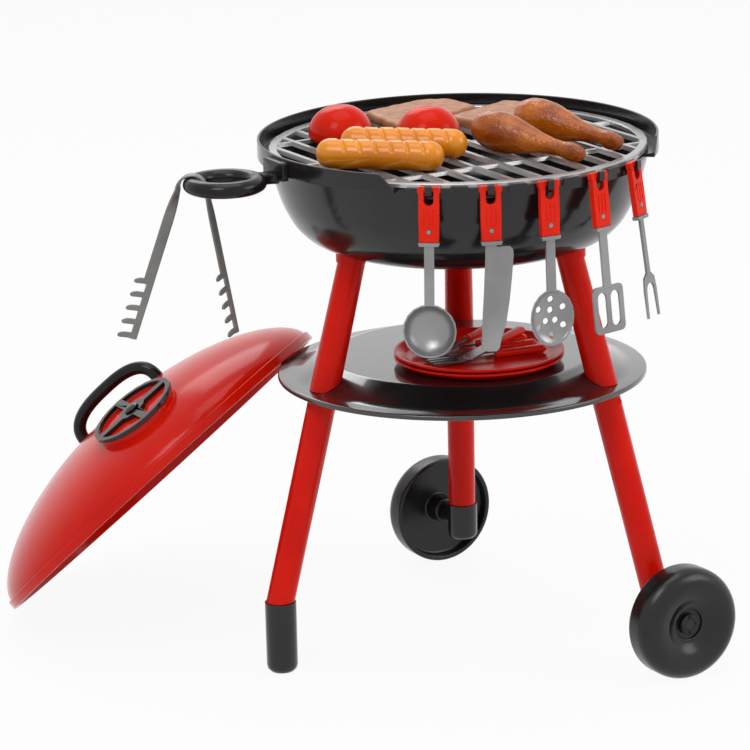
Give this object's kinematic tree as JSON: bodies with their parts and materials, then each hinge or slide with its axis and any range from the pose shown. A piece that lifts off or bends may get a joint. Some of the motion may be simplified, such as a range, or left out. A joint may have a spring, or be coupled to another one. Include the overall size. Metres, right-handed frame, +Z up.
{
  "type": "toy kettle barbecue",
  "caption": "Child's toy kettle barbecue on legs with wheels: leaning lid, grate of play food, hanging utensils, tongs, and plates with cutlery on its shelf.",
  "frame": {"origin": "on the floor, under the middle of the assembly's outer box", "axes": "+Z up, +X towards the wheels, +Y towards the rear wheel and the leaning lid"},
  "size_m": [0.5724, 0.6618, 0.5292],
  "materials": {
    "cutlery_grey": "glossy",
    "drumstick_brown": "satin",
    "glossy_black": "glossy",
    "glossy_red": "glossy",
    "sausage_brown": "satin",
    "screw_steel": "satin",
    "silver_plastic": "satin",
    "steak_brown": "satin",
    "tomato_red": "satin",
    "tongs_grey": "satin",
    "wheel_black": "satin"
  },
  "bodies": {
    "grill": {"axle_cap_front": "glossy_black", "axle_cap_rear": "glossy_black", "foot_cap": "glossy_black", "hook_rail": "glossy_black", "kettle_bowl": "glossy_black", "leg_nut_front": "glossy_red", "leg_nut_handle_side": "glossy_red", "leg_nut_rear": "glossy_red", "lower_leg_front": "glossy_red", "lower_leg_handle_side": "glossy_red", "lower_leg_rear": "glossy_red", "shelf": "glossy_black", "side_handle": "glossy_black", "side_handle_screw_1": "screw_steel", "side_handle_screw_2": "screw_steel", "upper_leg_front": "glossy_red", "upper_leg_handle_side": "glossy_red", "upper_leg_rear": "glossy_red", "wheel_retainer_front": "screw_steel", "wheel_retainer_rear": "screw_steel"},
    "wheel_rear": {"wheel_rear": "wheel_black"},
    "wheel_front": {"wheel_front": "wheel_black"},
    "grate": {"grate": "silver_plastic"},
    "tomato_half_1": {"tomato_half_1": "tomato_red"},
    "tomato_half_2": {"tomato_half_2": "tomato_red"},
    "sausage_1": {"sausage_1": "sausage_brown"},
    "sausage_2": {"sausage_2": "sausage_brown"},
    "steak_1": {"steak_1": "steak_brown"},
    "steak_2": {"steak_2": "steak_brown"},
    "drumstick_1": {"drumstick_1": "drumstick_brown"},
    "drumstick_2": {"drumstick_2": "drumstick_brown"},
    "ladle": {"ladle_grip": "glossy_red", "ladle_tool": "silver_plastic"},
    "knife": {"knife_grip": "glossy_red", "knife_tool": "silver_plastic"},
    "slotted_spoon": {"slotted_spoon_grip": "glossy_red", "slotted_spoon_tool": "silver_plastic"},
    "spatula": {"spatula_grip": "glossy_red", "spatula_tool": "silver_plastic"},
    "fork": {"fork_grip": "glossy_red", "fork_tool": "silver_plastic"},
    "tongs": {"tongs": "tongs_grey"},
    "plate_lower": {"plate_lower": "glossy_red"},
    "plate_upper": {"plate_upper": "glossy_red", "cutlery_grip_1": "glossy_red", "cutlery_head_1": "cutlery_grey", "cutlery_grip_2": "glossy_red", "cutlery_head_2": "cutlery_grey", "cutlery_grip_3": "glossy_red", "cutlery_head_3": "cutlery_grey"},
    "top_knife": {"cutlery_grip_4": "glossy_red", "cutlery_head_4": "cutlery_grey"},
    "top_fork": {"cutlery_grip_5": "glossy_red", "cutlery_head_5": "cutlery_grey"},
    "lid": {"lid_shell": "glossy_red", "lid_handle": "glossy_black", "lid_handle_screw_1": "screw_steel", "lid_handle_screw_2": "screw_steel", "vent_pin": "glossy_black"},
    "vent_disc": {"vent_disc": "glossy_black"}
  },
  "joints": [
    {"name": "wheel_rear_turn", "type": "hinge", "parent": "grill", "child": "wheel_rear", "pos_m": [0.19897, 0.08999, 0.054], "axis": [0, 1, 0], "continuous": true},
    {"name": "wheel_front_turn", "type": "hinge", "parent": "grill", "child": "wheel_front", "pos_m": [0.19897, -0.26594, 0.054], "axis": [0, -1, 0], "continuous": true},
    {"name": "grate_lift", "type": "slide", "parent": "grill", "child": "grate", "axis": [0, 0, 1], "range_m": [0, 0.12]},
    {"name": "tomato_half_1_lift", "type": "slide", "parent": "grate", "child": "tomato_half_1", "axis": [0, 0, 1], "range_m": [0, 0.1]},
    {"name": "tomato_half_2_lift", "type": "slide", "parent": "grate", "child": "tomato_half_2", "axis": [0, 0, 1], "range_m": [0, 0.1]},
    {"name": "sausage_1_lift", "type": "slide", "parent": "grate", "child": "sausage_1", "axis": [0, 0, 1], "range_m": [0, 0.1]},
    {"name": "sausage_2_lift", "type": "slide", "parent": "grate", "child": "sausage_2", "axis": [0, 0, 1], "range_m": [0, 0.1]},
    {"name": "steak_1_lift", "type": "slide", "parent": "grate", "child": "steak_1", "axis": [0, 0, 1], "range_m": [0, 0.1]},
    {"name": "steak_2_lift", "type": "slide", "parent": "grate", "child": "steak_2", "axis": [0, 0, 1], "range_m": [0, 0.1]},
    {"name": "drumstick_1_lift", "type": "slide", "parent": "grate", "child": "drumstick_1", "axis": [0, 0, 1], "range_m": [0, 0.1]},
    {"name": "drumstick_2_lift", "type": "slide", "parent": "grate", "child": "drumstick_2", "axis": [0, 0, 1], "range_m": [0, 0.1]},
    {"name": "ladle_swing", "type": "hinge", "parent": "grill", "child": "ladle", "pos_m": [-0.02193, -0.23389, 0.4833], "axis": [-0.7771, 0.6293, 0], "range_deg": [0, 20]},
    {"name": "knife_swing", "type": "hinge", "parent": "grill", "child": "knife", "pos_m": [0.02589, -0.26206, 0.4833], "axis": [-0.9272, 0.3746, 0], "range_deg": [0, 20]},
    {"name": "slotted_spoon_swing", "type": "hinge", "parent": "grill", "child": "slotted_spoon", "pos_m": [0.07986, -0.27501, 0.4833], "axis": [-0.9962, 0.0872, 0], "range_deg": [0, 20]},
    {"name": "spatula_swing", "type": "hinge", "parent": "grill", "child": "spatula", "pos_m": [0.13526, -0.27162, 0.4833], "axis": [-0.9781, -0.2079, 0], "range_deg": [0, 20]},
    {"name": "fork_swing", "type": "hinge", "parent": "grill", "child": "fork", "pos_m": [0.18724, -0.25219, 0.4833], "axis": [-0.8746, -0.4848, 0], "range_deg": [0, 20]},
    {"name": "tongs_lift", "type": "slide", "parent": "grill", "child": "tongs", "axis": [0, 0, 1], "range_m": [0, 0.15]},
    {"name": "plates_out", "type": "slide", "parent": "grill", "child": "plate_lower", "axis": [0.8746, 0.4848, 0], "range_m": [0, 0.25]},
    {"name": "plate_upper_lift", "type": "slide", "parent": "plate_lower", "child": "plate_upper", "axis": [0, 0, 1], "range_m": [0, 0.04]},
    {"name": "top_knife_lift", "type": "slide", "parent": "plate_upper", "child": "top_knife", "axis": [0, 0, 1], "range_m": [0, 0.03]},
    {"name": "top_fork_lift", "type": "slide", "parent": "plate_upper", "child": "top_fork", "axis": [0, 0, 1], "range_m": [0, 0.03]},
    {"name": "lid_away", "type": "slide", "parent": "grill", "child": "lid", "axis": [-0.4722, 0.4976, 0.7276], "range_m": [0, 0.3]},
    {"name": "vent_turn", "type": "hinge", "parent": "lid", "child": "vent_disc", "pos_m": [-0.17882, 0.06847, 0.23187], "axis": [-0.5581, 0.1578, 0.8147], "range_deg": [0, 90]}
  ]
}
